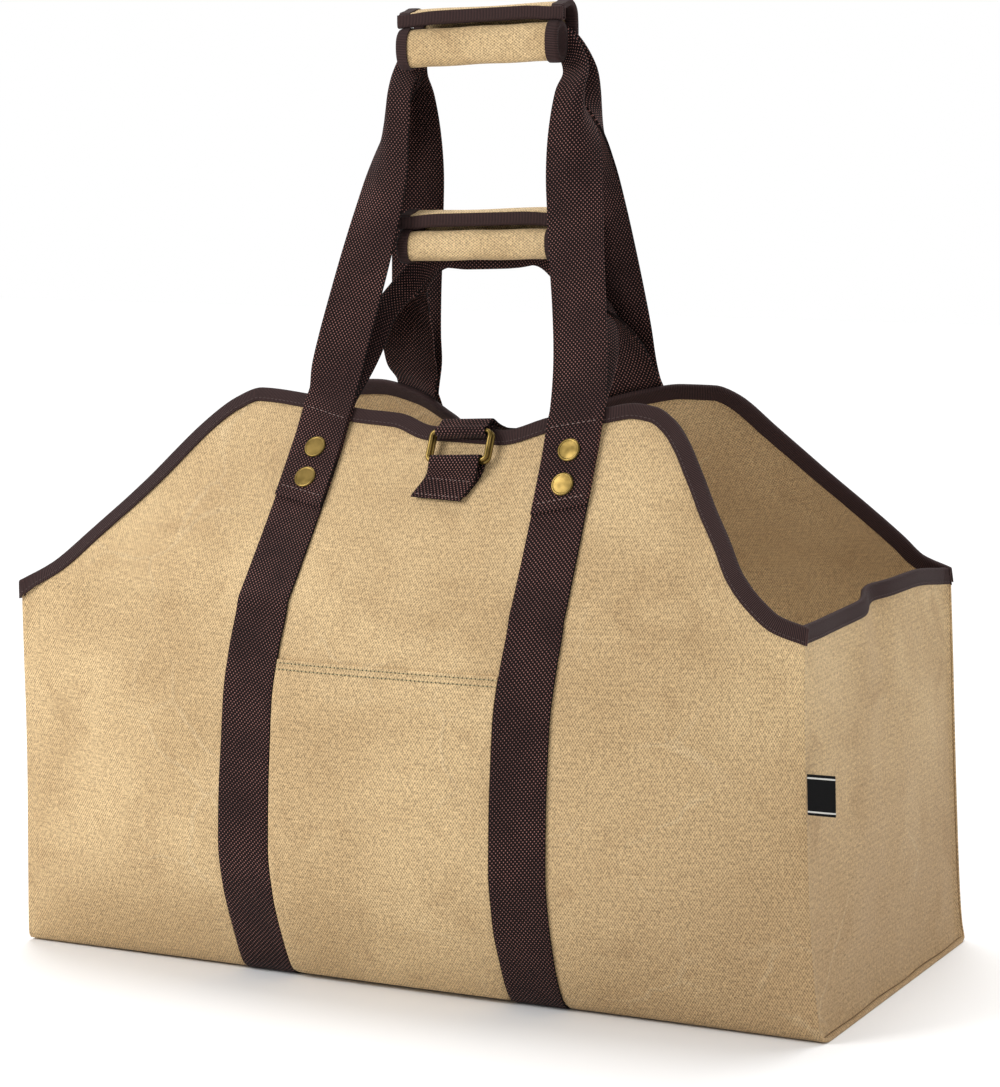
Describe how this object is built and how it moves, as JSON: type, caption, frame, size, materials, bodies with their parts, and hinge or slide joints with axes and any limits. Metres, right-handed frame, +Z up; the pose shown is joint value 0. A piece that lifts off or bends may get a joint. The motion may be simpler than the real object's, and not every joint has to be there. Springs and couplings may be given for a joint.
{
  "type": "canvas log carrier",
  "caption": "Waxed tan canvas log carrier with brown webbing straps, bound edges, front pocket, brass rivets and two pairs of handles.",
  "frame": {"origin": "middle of the underside's bounding box, on the surface that the carrier stands on", "axes": "+X along the bag's length to the right end with the side label, +Y from the pocket side to the back, +Z up"},
  "size_m": [0.5874, 0.3576, 0.6387],
  "materials": {
    "waxed_canvas": "matte waxed cotton duck, fine plain weave",
    "webbing": "matte heavy polypropylene webbing, 38 mm",
    "binding_tape": "matte ribbed tape folded over the edges",
    "antique_brass": "satin antique brass",
    "label_cloth": "plain woven black tab"
  },
  "bodies": {
    "root": {"back_binding": "binding_tape", "clasp_ring_inner": "antique_brass", "clasp_ring_outer": "antique_brass", "clasp_tab": "webbing", "end_binding_left": "binding_tape", "end_binding_right": "binding_tape", "end_panel_left": "waxed_canvas", "end_panel_right": "waxed_canvas", "front_binding": "binding_tape", "front_pocket": "waxed_canvas", "long_handle_back": "webbing", "long_handle_front": "webbing", "lower_flap_binding": "binding_tape", "lower_grip_binding_left": "binding_tape", "lower_grip_binding_right": "binding_tape", "lower_grip_flap": "waxed_canvas", "lower_grip_roll": "waxed_canvas", "main_panel": "waxed_canvas", "rivet_back_left_lower": "antique_brass", "rivet_back_left_upper": "antique_brass", "rivet_back_right_lower": "antique_brass", "rivet_back_right_upper": "antique_brass", "rivet_front_left_lower": "antique_brass", "rivet_front_left_upper": "antique_brass", "rivet_front_right_lower": "antique_brass", "rivet_front_right_upper": "antique_brass", "security_strap": "webbing", "short_handle_back": "webbing", "short_handle_front": "webbing", "side_label": "label_cloth", "strap_left": "webbing", "strap_right": "webbing", "upper_flap_binding": "binding_tape", "upper_grip_binding_left": "binding_tape", "upper_grip_binding_right": "binding_tape", "upper_grip_flap": "waxed_canvas", "upper_grip_roll": "waxed_canvas"}
  },
  "joints": []
}
